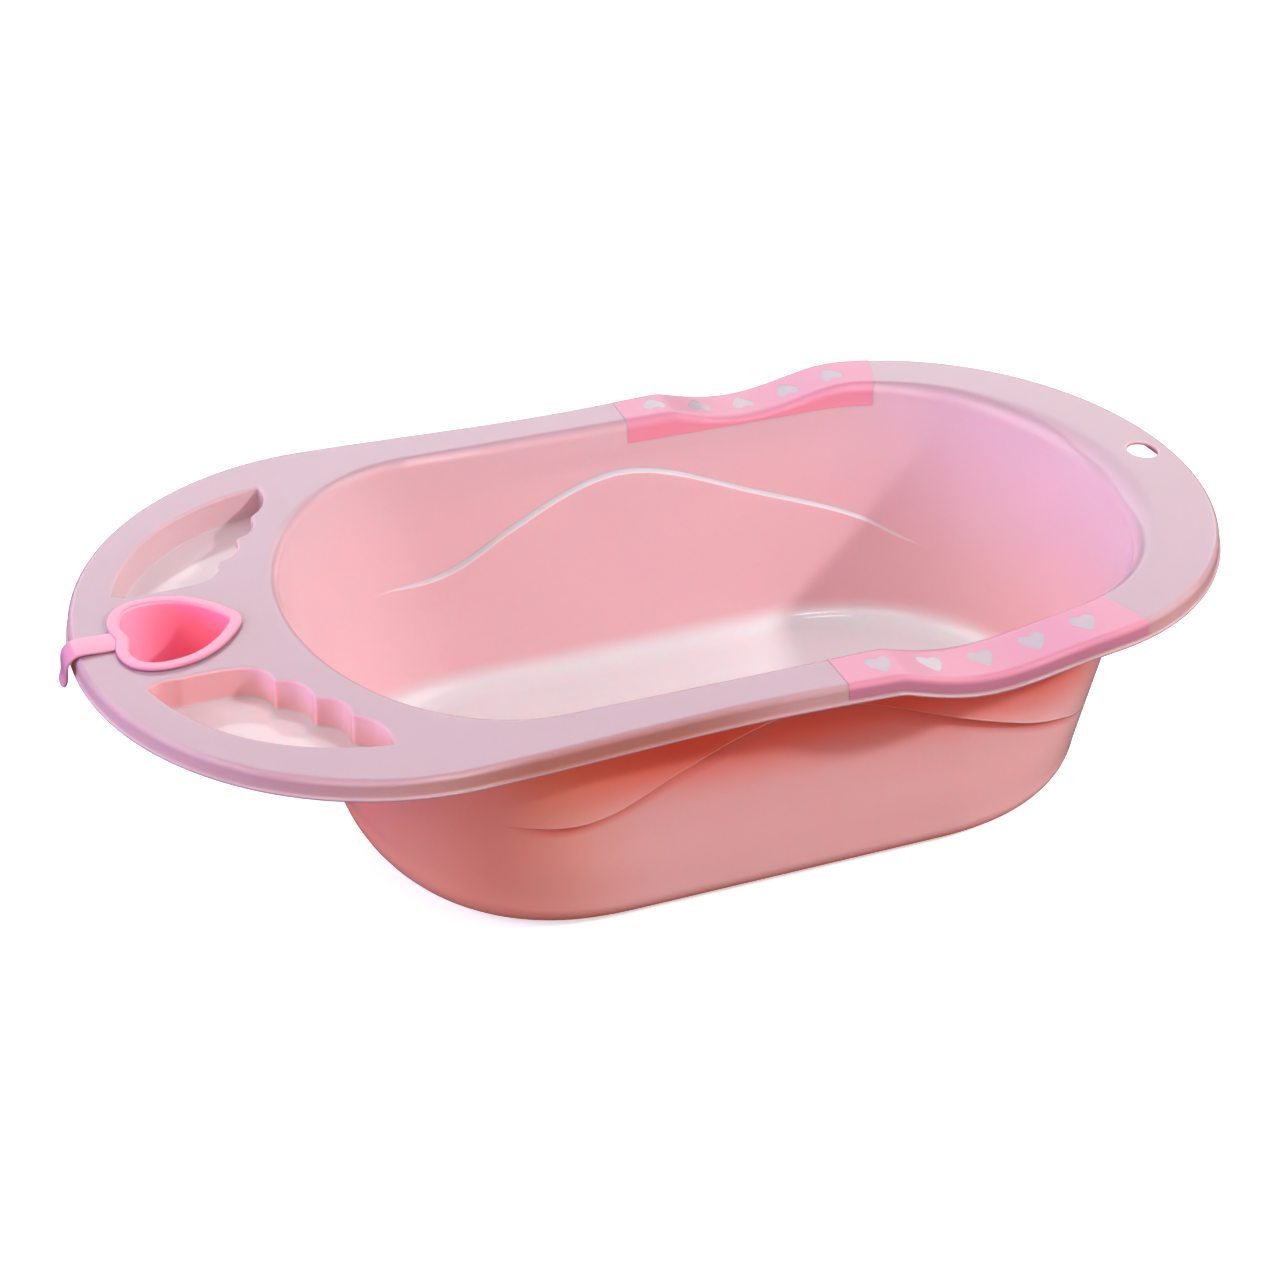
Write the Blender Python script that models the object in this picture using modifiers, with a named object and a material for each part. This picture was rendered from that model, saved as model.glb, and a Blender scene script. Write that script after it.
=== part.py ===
"""Baby bathtub: one moulded tub with a wide rim, two soft grips on the rim and a lift-out heart cup.

Metres, +Z up. The origin is on the underside, below the middle of the rim. +X points to the head
end, where the rim has its hanging hole, and -X to the foot end, which carries the cup and two trays.
"""

import math

import bmesh
import bpy
import numpy as np

# Driving dimensions
RIM_HEIGHT = 0.196
WALL = 0.0025
GAP = 0.0003

# Plan outlines: how far each end reaches, where it starts to turn, the half width, the power of the
# superellipse that closes the foot end (2 is an ellipse), and x where the grip's head end crosses it.
RIM = dict(foot=-0.409, foot_turn=-0.200, head_turn=0.210, head=0.410, half_width=0.2256, grip_x=0.2646)
DECK_INNER = dict(foot=-0.273, foot_turn=-0.130, head_turn=0.205, head=0.3655, half_width=0.187, grip_x=0.252)
WALL_TOP = dict(foot=-0.2655, foot_turn=-0.130, head_turn=0.210, head=0.345, half_width=0.179, grip_x=0.248)
WALL_FOOT = dict(
    foot=-0.2231,
    foot_turn=-0.068,
    head_turn=0.154,
    head=0.3187,
    half_width=0.1575,
    grip_x=0.230,
    foot_power=2.4,
)

# The rim narrows by this share near its middle
RIM_WAIST = 0.038
WAIST_X, WAIST_SPREAD = -0.02, 0.13

# The wall slopes straight from WALL_FOOT at the ground to WALL_TOP at this height; the foot end bellies out
WALL_TOP_Z = RIM_HEIGHT - 0.015
WALL_ROWS_Z = (0.095, 0.140)
FOOT_BELLY = 0.004

# Radii where the floor meets the wall, and heights of the rounding where the wall meets the deck
FLOOR_RADIUS_FOOT, FLOOR_RADIUS_SIDE, FLOOR_RADIUS_HEAD = 0.0445, 0.019, 0.0205
EDGE_DROP_SIDE, EDGE_DROP_HEAD = 0.009, 0.0167
RIM_RADIUS = 0.0045
SKIRT_DEPTH, SKIRT_FLARE, LIP_HEIGHT = 0.0135, 0.002, 0.0015

# The rim dips under each grip, so that fingers reach under it
DIP_DEPTH = 0.0124
DIP_START, DIP_LOWEST, DIP_END = 0.083, 0.146, 0.240

# Soft grips, set into a shallow recess that runs over the rim
GRIP_FOOT_X = 0.045
GRIP_FROM, GRIP_TO = 0.54, 0.744
GRIP_INNER_DROP, GRIP_SKIRT_DROP = 0.0175, 0.0100
GRIP_RECESS, GRIP_PROUD = 0.001, 0.0009
RECESS_CUT_ABOVE = 0.003
EDGE_ABOVE_GRIP_LINE = 0.0008
HEARTS, FIRST_HEART_X, HEART_PITCH, HEART_Y = 5, 0.074, 0.0375, 0.2025
HEART_LENGTH, HEART_WIDTH = 0.0195, 0.0175
HEART_ROOT, HEART_PROUD = 0.0006, 0.0008
# Half a heart from its cleft to its tip, in shares of its length and width
HEART_HALF = ((-0.34, 0.0), (-0.50, 0.24), (-0.36, 0.46), (-0.08, 0.48), (0.22, 0.28), (0.50, 0.0))

# Trays at the foot end
TRAY_DEPTH = 0.022
TRAY_CORNER, TRAY_BACK, TRAY_SHOULDER = (-0.372, 0.062), (-0.350, 0.057), (-0.314, 0.058)
TRAY_NOTCHES = ((-0.295, 0.081), (-0.276, 0.109), (-0.259, 0.137))
TRAY_TIP = (-0.2435, 0.178)
TRAY_SCALLOP, TRAY_OUTER_BULGE = 0.0065, 0.026

# Heart cup: outline of its mouth from the cleft to the tip, its flange and its depth
CUP_MOUTH = (
    (-0.3716, 0.0), (-0.3743, 0.014), (-0.3725, 0.026), (-0.366, 0.0345), (-0.353, 0.0376),
    (-0.335, 0.0335), (-0.320, 0.0222), (-0.310, 0.0098), (-0.3055, 0.0),
)
CUP_CENTRE_X = -0.345
CUP_FLANGE_WIDTH, CUP_FLANGE_THICK, CUP_WALL = 0.009, 0.003, 0.002
CUP_DEPTH, CUP_TAPER, CUP_ROUNDING = 0.058, 0.82, 0.0015
CUP_HOLE_CLEARANCE, COLLAR_DEPTH = 0.001, 0.012

# The cup's strap: middle line of its section, as (distance out from the skirt's lip, depth below the cup's top)
STRAP_WIDTH, STRAP_THICK = 0.020, 0.002
STRAP_PATH = (
    (-0.0385, 0.0022), (-0.017, 0.0022), (-0.003, 0.0022), (0.0015, 0.0042),
    (0.0035, 0.009), (0.0040, 0.018), (0.0090, 0.026),
)

# Hanging hole through the rim at the head end
HANG_X, HANG_LENGTH, HANG_WIDTH = 0.388, 0.021, 0.025

# Sampling of the outlines: how many stretches before, along and after the grip
FOOT_STRETCHES, GRIP_STRETCHES, HEAD_STRETCHES = 22, 14, 11
HALF_OUTLINE_LENGTH = 1.0
GRIP_ROW_IN, GRIP_ROW_OUT = 6, 14

# How far cutters run past the rim above and below, and how far below the deck's face joined pieces stop
ABOVE, BELOW = 0.02, 0.05
SKIN = 0.001


def outline(foot, foot_turn, head_turn, head, half_width, grip_x, foot_power=2.0, at=None):
    """Half an outline in plan, from its foot end (at = 0) over +Y to its head end (at = 1).

    The grip lies between GRIP_FROM and GRIP_TO on every outline.
    """
    turn = np.linspace(0, math.pi / 2, 90)
    foot_x = foot_turn - (foot_turn - foot) * np.cos(turn) ** (2 / foot_power)
    foot_y = half_width * np.sin(turn) ** (2 / foot_power)
    head_x = head_turn + (head - head_turn) * np.sin(turn)
    head_y = half_width * np.cos(turn)
    x = np.concatenate([foot_x, head_x])
    y = np.concatenate([foot_y, head_y])
    along = np.concatenate([[0], np.cumsum(np.hypot(np.diff(x), np.diff(y)))])
    grip_along = np.interp([GRIP_FOOT_X, grip_x], x, along)
    where = np.interp(at, [0, GRIP_FROM, GRIP_TO, 1], [0, *grip_along, along[-1]])
    return np.interp(where, along, x), np.interp(where, along, y)


def waisted(x, y):
    """The rim is a little narrower near its middle."""
    return x, y * (1 - RIM_WAIST * np.exp(-(((x - WAIST_X) / WAIST_SPREAD) ** 2)))


def grown(x, y, distance):
    """A half outline moved outwards along its own normals. Both its ends cross the centre line squarely."""
    dx, dy = np.gradient(x), np.gradient(y)
    dx[0], dy[0], dx[-1], dy[-1] = 0, 1, 0, -1
    length = np.hypot(dx, dy)
    return x - distance * dy / length, y + distance * dx / length


def dip(x):
    """How far the rim lies below its full height at x."""
    down = np.sin(np.clip((x - DIP_START) / (DIP_LOWEST - DIP_START), 0, 1) * math.pi / 2)
    up = (1 + np.cos(np.clip((x - DIP_LOWEST) / (DIP_END - DIP_LOWEST), 0, 1) * math.pi)) / 2
    return DIP_DEPTH * np.where(x < DIP_LOWEST, down, up)


def smooth_step(value):
    """A ramp from 0 to 1 that starts and ends level."""
    value = np.clip(value, 0, 1)
    return value * value * (3 - 2 * value)


def tub_rows(at, grip_margin=0.0):
    """Rows of points of the tub's inner and upper face on the +Y side, from the floor to the lip.

    Each row is an array of (x, y, z). The grip covers the rows from GRIP_ROW_IN to GRIP_ROW_OUT, which
    grip_margin moves apart.
    """
    foot_share = smooth_step(1 - at / 0.35)
    head_share = smooth_step((at - 0.65) / 0.35)

    def between(side, foot, head):
        return side + (foot - side) * foot_share + (head - side) * head_share

    low = outline(**WALL_FOOT, at=at)
    high = outline(**WALL_TOP, at=at)

    def wall(z):
        share = z / WALL_TOP_Z
        x = low[0] + (high[0] - low[0]) * share - FOOT_BELLY * foot_share * 4 * share * (1 - share)
        return x, low[1] + (high[1] - low[1]) * share

    rows = []

    def add(x, y, z):
        rows.append(np.column_stack([x, np.maximum(y, 0), np.broadcast_to(z, x.shape)]))

    radius = between(FLOOR_RADIUS_SIDE, FLOOR_RADIUS_FOOT, FLOOR_RADIUS_HEAD)
    foot_of_wall = wall(WALL + radius)
    for turn in np.radians([0, 30, 60, 90]):
        inset = radius * (1 - np.sin(turn))
        x, y = grown(*foot_of_wall, -inset)
        add(x, y, WALL + radius * (1 - np.cos(turn)))
    for z in WALL_ROWS_Z:
        add(*wall(z), z)
    grip_z = RIM_HEIGHT - GRIP_INNER_DROP - grip_margin
    add(*wall(grip_z), grip_z)

    deck = outline(**DECK_INNER, at=at)
    sunk = dip(deck[0])
    drop = between(EDGE_DROP_SIDE, EDGE_DROP_SIDE, EDGE_DROP_HEAD)
    drop = drop + (GRIP_INNER_DROP - EDGE_ABOVE_GRIP_LINE - drop) * sunk / DIP_DEPTH
    start_z = RIM_HEIGHT - drop
    start = wall(start_z)
    for turn in np.radians([0, 30, 60, 90]):
        share = 1 - np.cos(turn)
        x = start[0] + (deck[0] - start[0]) * share
        y = start[1] + (deck[1] - start[1]) * share
        add(x, y, start_z + (RIM_HEIGHT - sunk - start_z) * np.sin(turn))

    edge = waisted(*outline(**RIM, at=at))
    sunk = dip(edge[0])
    for turn in np.radians([0, 45, 90]):
        x, y = grown(*edge, -RIM_RADIUS * (1 - np.sin(turn)))
        add(x, y, RIM_HEIGHT - sunk - RIM_RADIUS * (1 - np.cos(turn)))
    skirt = (
        (GRIP_SKIRT_DROP + grip_margin, 0.0),
        (SKIRT_DEPTH - LIP_HEIGHT, SKIRT_FLARE * 0.4),
        (SKIRT_DEPTH, SKIRT_FLARE),
    )
    for depth, flare in skirt:
        x, y = grown(*edge, flare)
        add(x, y, RIM_HEIGHT - sunk - depth)
    return rows


def stations():
    """Shares of a half outline's length at which it is sampled."""
    foot = np.linspace(0, GRIP_FROM, FOOT_STRETCHES + 1)
    grips = np.linspace(GRIP_FROM, GRIP_TO, GRIP_STRETCHES + 1)
    head = np.linspace(GRIP_TO, 1, HEAD_STRETCHES + 1)
    return np.concatenate([foot, grips[1:-1], head])


def collection(name):
    made = bpy.data.collections.new(name)
    bpy.context.scene.collection.children.link(made)
    return made


def add_object(name, mesh, home, looks=None):
    made = bpy.data.objects.new(name, mesh)
    home.objects.link(made)
    if looks:
        mesh.materials.append(looks)
    if home.name == "cutters":
        made.hide_render = True
        made.display_type = "WIRE"
    return made


def mesh_of(name, points, faces):
    mesh = bpy.data.meshes.new(name)
    mesh.from_pydata([tuple(map(float, point)) for point in points], [], faces)
    mesh.shade_smooth()
    mesh.set_sharp_from_angle(angle=math.radians(35))
    return mesh


def band_faces(rows, count, closed):
    """Triangles between neighbouring rows of count points each, so that no face is left to bend."""
    faces = []
    for row in range(rows - 1):
        for i in range(count if closed else count - 1):
            low, low_next = row * count + i, row * count + (i + 1) % count
            high, high_next = low + count, low_next + count
            faces += [(low, low_next, high_next), (low, high_next, high)]
    return faces


def tub_sheet():
    """The tub's inner and upper face all round, as one open surface with its floor."""
    half = tub_rows(stations())
    count = 2 * (len(half[0]) - 1)
    points = []
    for row in half:
        points.extend(row)
        points.extend(row[-2:0:-1] * (1, -1, 1))
    faces = band_faces(len(half), count, True)
    faces.append(tuple(reversed(range(count))))
    return mesh_of("tub_sheet", points, faces)


def grip_sheet(side, margin):
    """The stretch of the tub's face that a grip covers, on the +Y side (1) or the -Y side (-1)."""
    first, last = FOOT_STRETCHES, FOOT_STRETCHES + GRIP_STRETCHES
    at = stations()
    at[first] -= margin / HALF_OUTLINE_LENGTH
    at[last] += margin / HALF_OUTLINE_LENGTH
    rows = [row[first : last + 1] for row in tub_rows(at, margin)[GRIP_ROW_IN : GRIP_ROW_OUT + 1]]
    count = len(rows[0])
    points = [point * (1, side, 1) for row in rows for point in row]
    faces = band_faces(len(rows), count, False)
    return mesh_of("grip_sheet", points, faces if side == 1 else [face[::-1] for face in faces])


def solidify(obj, below, above):
    """Thickness from below to above the surface, along its normals."""
    shell = obj.modifiers.new("wall", "SOLIDIFY")
    shell.thickness = below + above
    shell.offset = (above - below) / (above + below)
    shell.use_even_offset = True


def boolean(obj, other, operation, solver="EXACT"):
    """Joins, cuts or intersects obj with other."""
    step = obj.modifiers.new(f"{operation.lower()} {other.name}", "BOOLEAN")
    step.object = other
    step.operation = operation
    step.solver = solver


def face_outwards(mesh):
    fix = bmesh.new()
    fix.from_mesh(mesh)
    bmesh.ops.recalc_face_normals(fix, faces=fix.faces)
    fix.to_mesh(mesh)
    fix.free()
    return mesh


def prism(name, outlines, low, high, home):
    """One upright prism for each outline, each a list of (x, y)."""
    points, faces = [], []
    for shape in outlines:
        first, count = len(points), len(shape)
        points.extend((x, y, low) for x, y in shape)
        points.extend((x, y, high) for x, y in shape)
        faces.extend(tuple(first + i for i in face) for face in band_faces(2, count, True))
        faces.append(tuple(first + i for i in reversed(range(count))))
        faces.append(tuple(first + count + i for i in range(count)))
    return add_object(name, face_outwards(mesh_of(name, points, faces)), home)


def loft(name, rings, home, looks):
    """A closed body through rings of equal count, capped at both ends."""
    count = len(rings[0])
    points = [point for ring in rings for point in ring]
    faces = band_faces(len(rings), count, True)
    faces.append(tuple(reversed(range(count))))
    faces.append(tuple((len(rings) - 1) * count + i for i in range(count)))
    return add_object(name, face_outwards(mesh_of(name, points, faces)), home, looks)


def arc(start, end, rise, count):
    """Points from start towards end on an arc that rises to the left of that line, without its end."""
    (x0, y0), (x1, y1) = start, end
    share = np.arange(count) / count
    lift = 4 * rise * share * (1 - share)
    length = math.hypot(x1 - x0, y1 - y0)
    across = (-(y1 - y0) / length, (x1 - x0) / length)
    x = x0 + (x1 - x0) * share + across[0] * lift
    y = y0 + (y1 - y0) * share + across[1] * lift
    return list(zip(x, y))


def offset_outline(shape, distance):
    """A closed outline, counter-clockwise or clockwise, moved outwards with mitred corners."""
    points = np.array(shape)
    area = np.sum(points[:, 0] * np.roll(points[:, 1], -1) - points[:, 1] * np.roll(points[:, 0], -1))
    before = points - np.roll(points, 1, axis=0)
    after = np.roll(points, -1, axis=0) - points
    normals = []
    for edge in (before, after):
        normal = np.column_stack([edge[:, 1], -edge[:, 0]]) * math.copysign(1, area)
        normals.append(normal / np.linalg.norm(normal, axis=1)[:, None])
    middle = normals[0] + normals[1]
    middle /= np.linalg.norm(middle, axis=1)[:, None]
    stretch = np.clip(np.sum(middle * normals[0], axis=1), 0.5, 1)
    return points + middle * (distance / stretch)[:, None]


def tray_outline():
    """A wing-shaped tray on the +Y side: a scalloped edge towards the basin, an arc along the rim."""
    shape = arc(TRAY_CORNER, TRAY_BACK, -0.003, 2) + arc(TRAY_BACK, TRAY_SHOULDER, -0.001, 2)
    shape += arc(TRAY_SHOULDER, TRAY_NOTCHES[0], -0.006, 4)
    for start, end in zip(TRAY_NOTCHES, (*TRAY_NOTCHES[1:], TRAY_TIP)):
        shape += arc(start, end, -TRAY_SCALLOP, 4)
    shape += arc(TRAY_TIP, TRAY_CORNER, -TRAY_OUTER_BULGE, 10)
    return np.array(shape)


def smooth_loop(half):
    """A closed curve through half an outline and its mirror image in y, with a point between each two."""
    half = np.array(half)
    loop = np.concatenate([half, half[-2:0:-1] * (1, -1)])
    before, after, later = (np.roll(loop, -step, axis=0) for step in (-1, 1, 2))
    middle = (9 * (loop + after) - before - later) / 16
    return np.stack([loop, middle], axis=1).reshape(-1, 2)


def heart_outline(x, grow):
    """A small heart in a grip, its tip towards the rim's edge on the +Y side."""
    along, across = smooth_loop(HEART_HALF).T
    shape = np.column_stack([x + across * HEART_WIDTH, HEART_Y + along * HEART_LENGTH])
    return offset_outline(shape, grow)


def heart_row(side, grow):
    """All hearts of one grip, on the +Y side (1) or the -Y side (-1)."""
    centres = [FIRST_HEART_X + HEART_PITCH * i for i in range(HEARTS)]
    return [heart_outline(x, grow) * (1, side) for x in centres]


def tub_shell(home, cutters, looks):
    """The single moulding: basin, deck, skirt, two trays, the cup's seat and the hearts in the grips.

    The grips' recesses and hearts use the MANIFOLD solver, because EXACT leaves open edges where their
    faces lie close under the deck's.
    """
    shell = add_object("tub_shell", tub_sheet(), home, looks)
    solidify(shell, WALL, 0)
    trays = [tray_outline() * (1, side) for side in (1, -1)]
    pockets = [offset_outline(shape, WALL) for shape in trays]
    seat = offset_outline(smooth_loop(CUP_MOUTH), CUP_WALL + CUP_HOLE_CLEARANCE)
    top = RIM_HEIGHT
    skin = top - SKIN
    boolean(shell, prism("tray_pockets", pockets, top - TRAY_DEPTH - WALL, skin, cutters), "UNION")
    boolean(shell, prism("cup_collar", [offset_outline(seat, WALL)], top - COLLAR_DEPTH, skin, cutters), "UNION")
    boolean(shell, prism("tray_hollows", trays, top - TRAY_DEPTH, top + ABOVE, cutters), "DIFFERENCE")
    # The hole's corners start a little off the centre line, where the deck has its own corners
    turn = np.linspace(0, 2 * math.pi, 24, endpoint=False) + 0.1
    hang = np.column_stack([HANG_X + np.cos(turn) * HANG_LENGTH / 2, np.sin(turn) * HANG_WIDTH / 2])
    boolean(shell, prism("holes", [seat, hang], top - BELOW, top + ABOVE, cutters), "DIFFERENCE")
    for side, word in ((1, "left"), (-1, "right")):
        recess = add_object(f"recess_{word}", grip_sheet(side, GAP), cutters)
        solidify(recess, GRIP_RECESS, RECESS_CUT_ABOVE)
        boolean(shell, recess, "DIFFERENCE", "MANIFOLD")
        bosses = add_object(f"hearts_{word}", grip_sheet(side, GAP), cutters)
        solidify(bosses, GRIP_RECESS + HEART_ROOT, HEART_PROUD)
        cores = prism(f"heart_cores_{word}", heart_row(side, 0), top - BELOW, top + ABOVE, cutters)
        boolean(bosses, cores, "INTERSECT", "MANIFOLD")
        boolean(shell, bosses, "UNION", "MANIFOLD")
    return shell


def grip(side, word, home, cutters, looks):
    """A soft sleeve over the rim, cut out where the tub's hearts stand through it."""
    sleeve = add_object(f"grip_{word}", grip_sheet(side, 0), home, looks)
    solidify(sleeve, GRIP_RECESS - GAP, GRIP_PROUD)
    cut = prism(f"heart_cuts_{word}", heart_row(side, GAP), RIM_HEIGHT - BELOW, RIM_HEIGHT + ABOVE, cutters)
    boolean(sleeve, cut, "DIFFERENCE", "MANIFOLD")
    return sleeve


def heart_cup(home, cutters, looks):
    """The scoop: a tapered heart with a flange that rests on the deck and a strap hooked over the rim."""
    mouth = smooth_loop(CUP_MOUTH)
    body = offset_outline(mouth, CUP_WALL)
    flange = offset_outline(mouth, CUP_FLANGE_WIDTH)
    seat_z = RIM_HEIGHT + GAP
    top_z = seat_z + CUP_FLANGE_THICK
    centre = np.array((CUP_CENTRE_X, 0))

    def ring(shape, z, scale=1.0):
        shape = centre + (shape - centre) * scale
        return np.column_stack([shape, np.full(len(shape), z)])

    bottom = top_z - CUP_DEPTH
    rings = [
        ring(body, bottom - CUP_WALL, CUP_TAPER),
        ring(body, seat_z),
        ring(flange, seat_z),
        ring(flange, top_z - CUP_ROUNDING),
        ring(offset_outline(mouth, CUP_FLANGE_WIDTH - CUP_ROUNDING), top_z),
        ring(offset_outline(mouth, CUP_ROUNDING), top_z),
        ring(mouth, top_z - CUP_ROUNDING),
        ring(mouth, bottom, CUP_TAPER),
    ]
    cup = loft("heart_cup", rings, home, looks)
    lip = RIM["foot"] - SKIRT_FLARE
    points = [(lip - out, y * STRAP_WIDTH / 2, top_z - drop) for y in (-1, 1) for out, drop in STRAP_PATH]
    mesh = mesh_of("strap", points, band_faces(2, len(STRAP_PATH), False))
    strap = add_object("strap", mesh, cutters)
    solidify(strap, STRAP_THICK / 2, STRAP_THICK / 2)
    boolean(cup, strap, "UNION")
    return cup


def material(name, colour, roughness):
    made = bpy.data.materials.new(name)
    made.use_nodes = True
    shader = made.node_tree.nodes["Principled BSDF"]
    shader.inputs["Base Color"].default_value = (*colour, 1)
    shader.inputs["Roughness"].default_value = roughness
    shader.inputs["Metallic"].default_value = 0
    made.diffuse_color = (*colour, 1)
    return made


def main():
    for old in list(bpy.data.objects):
        bpy.data.objects.remove(old)
    home = collection("baby_bathtub")
    cutters = collection("cutters")
    shell_pink = material("shell_plastic", (0.80, 0.52, 0.56), 0.22)
    grip_pink = material("grip_rubber", (0.93, 0.42, 0.57), 0.50)
    cup_pink = material("cup_plastic", (0.98, 0.33, 0.47), 0.30)
    tub_shell(home, cutters, shell_pink)
    for side, word in ((1, "left"), (-1, "right")):
        grip(side, word, home, cutters, grip_pink)
    heart_cup(home, cutters, cup_pink)


main()
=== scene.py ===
"""Looks of the baby bathtub: fine meshes for the tub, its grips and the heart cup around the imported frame."""

import math

import bmesh
import bpy
import numpy as np
from mathutils import Matrix, Vector
from mathutils.geometry import delaunay_2d_cdt


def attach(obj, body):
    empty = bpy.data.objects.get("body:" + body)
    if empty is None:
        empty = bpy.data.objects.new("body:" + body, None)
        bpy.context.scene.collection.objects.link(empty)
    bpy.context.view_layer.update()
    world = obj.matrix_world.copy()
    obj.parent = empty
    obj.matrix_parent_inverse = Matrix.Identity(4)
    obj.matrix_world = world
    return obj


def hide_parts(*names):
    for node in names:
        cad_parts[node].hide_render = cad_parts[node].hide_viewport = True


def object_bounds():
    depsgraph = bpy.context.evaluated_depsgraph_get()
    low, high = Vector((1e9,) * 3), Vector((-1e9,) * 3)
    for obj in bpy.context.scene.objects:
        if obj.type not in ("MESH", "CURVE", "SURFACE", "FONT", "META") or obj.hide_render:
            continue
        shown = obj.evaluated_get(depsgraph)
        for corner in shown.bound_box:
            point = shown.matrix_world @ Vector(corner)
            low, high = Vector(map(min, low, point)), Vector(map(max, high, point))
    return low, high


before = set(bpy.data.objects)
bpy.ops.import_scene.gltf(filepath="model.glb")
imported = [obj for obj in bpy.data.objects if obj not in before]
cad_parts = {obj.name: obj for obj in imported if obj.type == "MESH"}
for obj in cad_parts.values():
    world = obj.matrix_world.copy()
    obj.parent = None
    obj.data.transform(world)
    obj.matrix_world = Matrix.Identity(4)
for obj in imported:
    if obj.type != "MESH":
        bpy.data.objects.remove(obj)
cad_low, cad_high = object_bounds()

# -------- dimensions, in metres, as in the CAD
RIM_HEIGHT = 0.196
WALL = 0.0025
RIM = dict(foot=-0.409, foot_turn=-0.200, head_turn=0.210, head=0.410, half_width=0.2256, grip_x=0.2646)
DECK_INNER = dict(foot=-0.273, foot_turn=-0.130, head_turn=0.205, head=0.3655, half_width=0.187, grip_x=0.252)
WALL_TOP = dict(foot=-0.2655, foot_turn=-0.130, head_turn=0.210, head=0.345, half_width=0.179, grip_x=0.248)
WALL_FOOT = dict(
    foot=-0.2231, foot_turn=-0.068, head_turn=0.154, head=0.3187,
    half_width=0.1575, grip_x=0.230, foot_power=2.4,
)
RIM_WAIST, WAIST_X, WAIST_SPREAD = 0.038, -0.02, 0.13
WALL_TOP_Z = RIM_HEIGHT - 0.015
FOOT_BELLY = 0.004
FLOOR_MIDDLE_X = 0.05
FLOOR_RADIUS_FOOT, FLOOR_RADIUS_SIDE, FLOOR_RADIUS_HEAD = 0.0445, 0.019, 0.0205
EDGE_DROP_SIDE, EDGE_DROP_HEAD = 0.009, 0.0167
RIM_RADIUS = 0.0045
DIP_DEPTH, DIP_START, DIP_LOWEST, DIP_END = 0.0124, 0.083, 0.146, 0.240
GRIP_FOOT_X, GRIP_FROM, GRIP_TO = 0.045, 0.54, 0.744
GRIP_INNER_DROP, GRIP_SKIRT_DROP, EDGE_ABOVE_GRIP_LINE = 0.0175, 0.0100, 0.0008
HEARTS, FIRST_HEART_X, HEART_PITCH, HEART_Y = 5, 0.074, 0.0375, 0.2025
HEART_LENGTH, HEART_WIDTH = 0.0195, 0.0175
HEART_HALF = ((-0.34, 0.0), (-0.50, 0.24), (-0.36, 0.46), (-0.08, 0.48), (0.22, 0.28), (0.50, 0.0))
TRAY_DEPTH = 0.022
TRAY_CORNER, TRAY_BACK, TRAY_SHOULDER = (-0.372, 0.062), (-0.350, 0.057), (-0.314, 0.058)
TRAY_NOTCHES = ((-0.295, 0.081), (-0.276, 0.109), (-0.259, 0.137))
TRAY_TIP = (-0.2435, 0.178)
TRAY_SCALLOP, TRAY_OUTER_BULGE = 0.0065, 0.026
CUP_MOUTH = (
    (-0.3716, 0.0), (-0.3743, 0.014), (-0.3725, 0.026), (-0.366, 0.0345), (-0.353, 0.0376),
    (-0.335, 0.0335), (-0.320, 0.0222), (-0.310, 0.0098), (-0.3055, 0.0),
)
CUP_CENTRE_X = -0.345
CUP_FLANGE_WIDTH, CUP_FLANGE_THICK, CUP_WALL = 0.009, 0.003, 0.002
CUP_DEPTH, CUP_TAPER = 0.058, 0.82
CUP_HOLE_CLEARANCE, COLLAR_DEPTH = 0.001, 0.012
STRAP_WIDTH, STRAP_THICK = 0.0215, 0.002
HANG_X, HANG_LENGTH, HANG_WIDTH = 0.388, 0.021, 0.025

# Share of half an outline over which a value at its end turns into that of the side
END_REACH = 0.35

# -------- only in the visual model
# Line of the moulded wave on both side walls, as (share of the half outline, height)
WAVE = (
    (0.0, 0.106), (0.16, 0.105), (0.215, 0.103), (0.2575, 0.0995), (0.305, 0.0955), (0.335, 0.099),
    (0.371, 0.110), (0.396, 0.1215), (0.43, 0.133), (0.465, 0.1455), (0.505, 0.1550), (0.535, 0.1575),
    (0.565, 0.1525), (0.60, 0.1395), (0.64, 0.1225), (0.6875, 0.1055), (0.7225, 0.0935), (0.75, 0.085),
    (0.784, 0.0735), (0.82, 0.068), (1.0, 0.066),
)
WAVE_STEP, WAVE_RISE, WAVE_LIP = 0.0046, 0.0020, 0.0007
WAVE_START, WAVE_FULL_FROM, WAVE_FULL_TO, WAVE_END = 0.235, 0.36, 0.66, 0.83
WAVE_LIP_ABOVE, WAVE_LIP_SPREAD = 0.0017, 0.0008
# The step grows from the first height over the second, and dies out over the third below the grips
WAVE_FADE_FROM, WAVE_FADE_LOW, WAVE_FADE_HIGH = 0.045, 0.04, 0.014
DIP_BLUR, WAVE_BLUR = 0.005, 0.02

# Small roundings and gaps
TRAY_EDGE, TRAY_DRAFT, TRAY_FOOT_RADIUS = 0.0019, 0.0005, 0.0016
SEAT_EDGE, HANG_EDGE = 0.001, 0.0014
GRIP_LIFT, GRIP_THICK, HEART_SUNK = 0.0003, 0.0016, 0.0008
CUP_LIFT, CUP_FOOT_RADIUS, CUP_FLOOR_RADIUS, CUP_MOUTH_RADIUS = 0.0003, 0.005, 0.0048, 0.0022
FLANGE_TOP = RIM_HEIGHT + CUP_LIFT + CUP_FLANGE_THICK
STRAP_CORNER, STRAP_EDGE, STRAP_TAPER, STRAP_TAPER_LENGTH = 0.004, 0.0009, 0.0022, 0.016
GRAIN_DEPTH = 0.0002

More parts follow.
